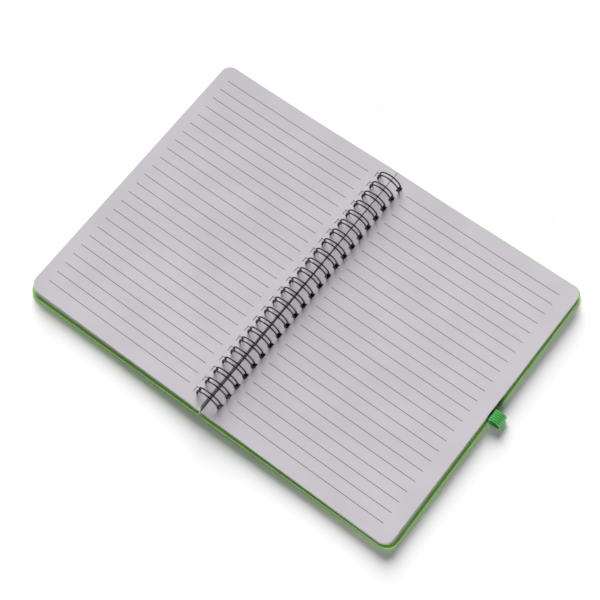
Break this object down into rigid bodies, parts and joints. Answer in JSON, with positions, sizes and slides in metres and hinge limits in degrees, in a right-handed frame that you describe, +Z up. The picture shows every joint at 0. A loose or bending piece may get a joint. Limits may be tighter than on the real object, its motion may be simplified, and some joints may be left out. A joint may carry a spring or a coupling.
{
  "type": "ring-bound notebook",
  "caption": "Ring-bound ruled notebook lying open, with hard covers, two turned blocks of leaves, a twin-loop binding wire and an elastic pen loop.",
  "frame": {"origin": "middle of the open notebook seen from above, pen loop included, on the plane of the table", "axes": "+Z up; +Y along the rings towards the head of the pages; +X from the front cover on the left to the back cover on the right"},
  "size_m": [0.3018, 0.211, 0.0179],
  "materials": {
    "cover_skin": "matt grained green leatherette",
    "greyboard": "raw greyboard",
    "endpaper": "plain matt paper",
    "leaves": "white uncoated paper with thin grey ruled lines",
    "wire": "black nylon coating, satin",
    "elastic": "ribbed woven elastic, matt"
  },
  "bodies": {
    "back_cover": {"back_cover_skin": "cover_skin", "back_cover_board": "greyboard", "back_endpaper": "endpaper", "binding_wire": "wire", "pen_loop": "elastic"},
    "front_cover": {"front_cover_skin": "cover_skin", "front_cover_board": "greyboard", "front_endpaper": "endpaper"},
    "front_leaves": {"front_pages": "leaves"},
    "back_leaves": {"back_pages": "leaves"}
  },
  "joints": [
    {"name": "front_cover_turn", "type": "hinge", "parent": "back_cover", "child": "front_cover", "pos_m": [-0.00378, 0, 0.00903], "axis": [0, 1, 0], "range_deg": [0, 180]},
    {"name": "front_leaves_turn", "type": "hinge", "parent": "front_cover", "child": "front_leaves", "pos_m": [-0.00378, 0, 0.00903], "axis": [0, 1, 0], "range_deg": [0, 180]},
    {"name": "back_leaves_turn", "type": "hinge", "parent": "back_cover", "child": "back_leaves", "pos_m": [-0.00378, 0, 0.00903], "axis": [0, -1, 0], "range_deg": [0, 180]}
  ]
}
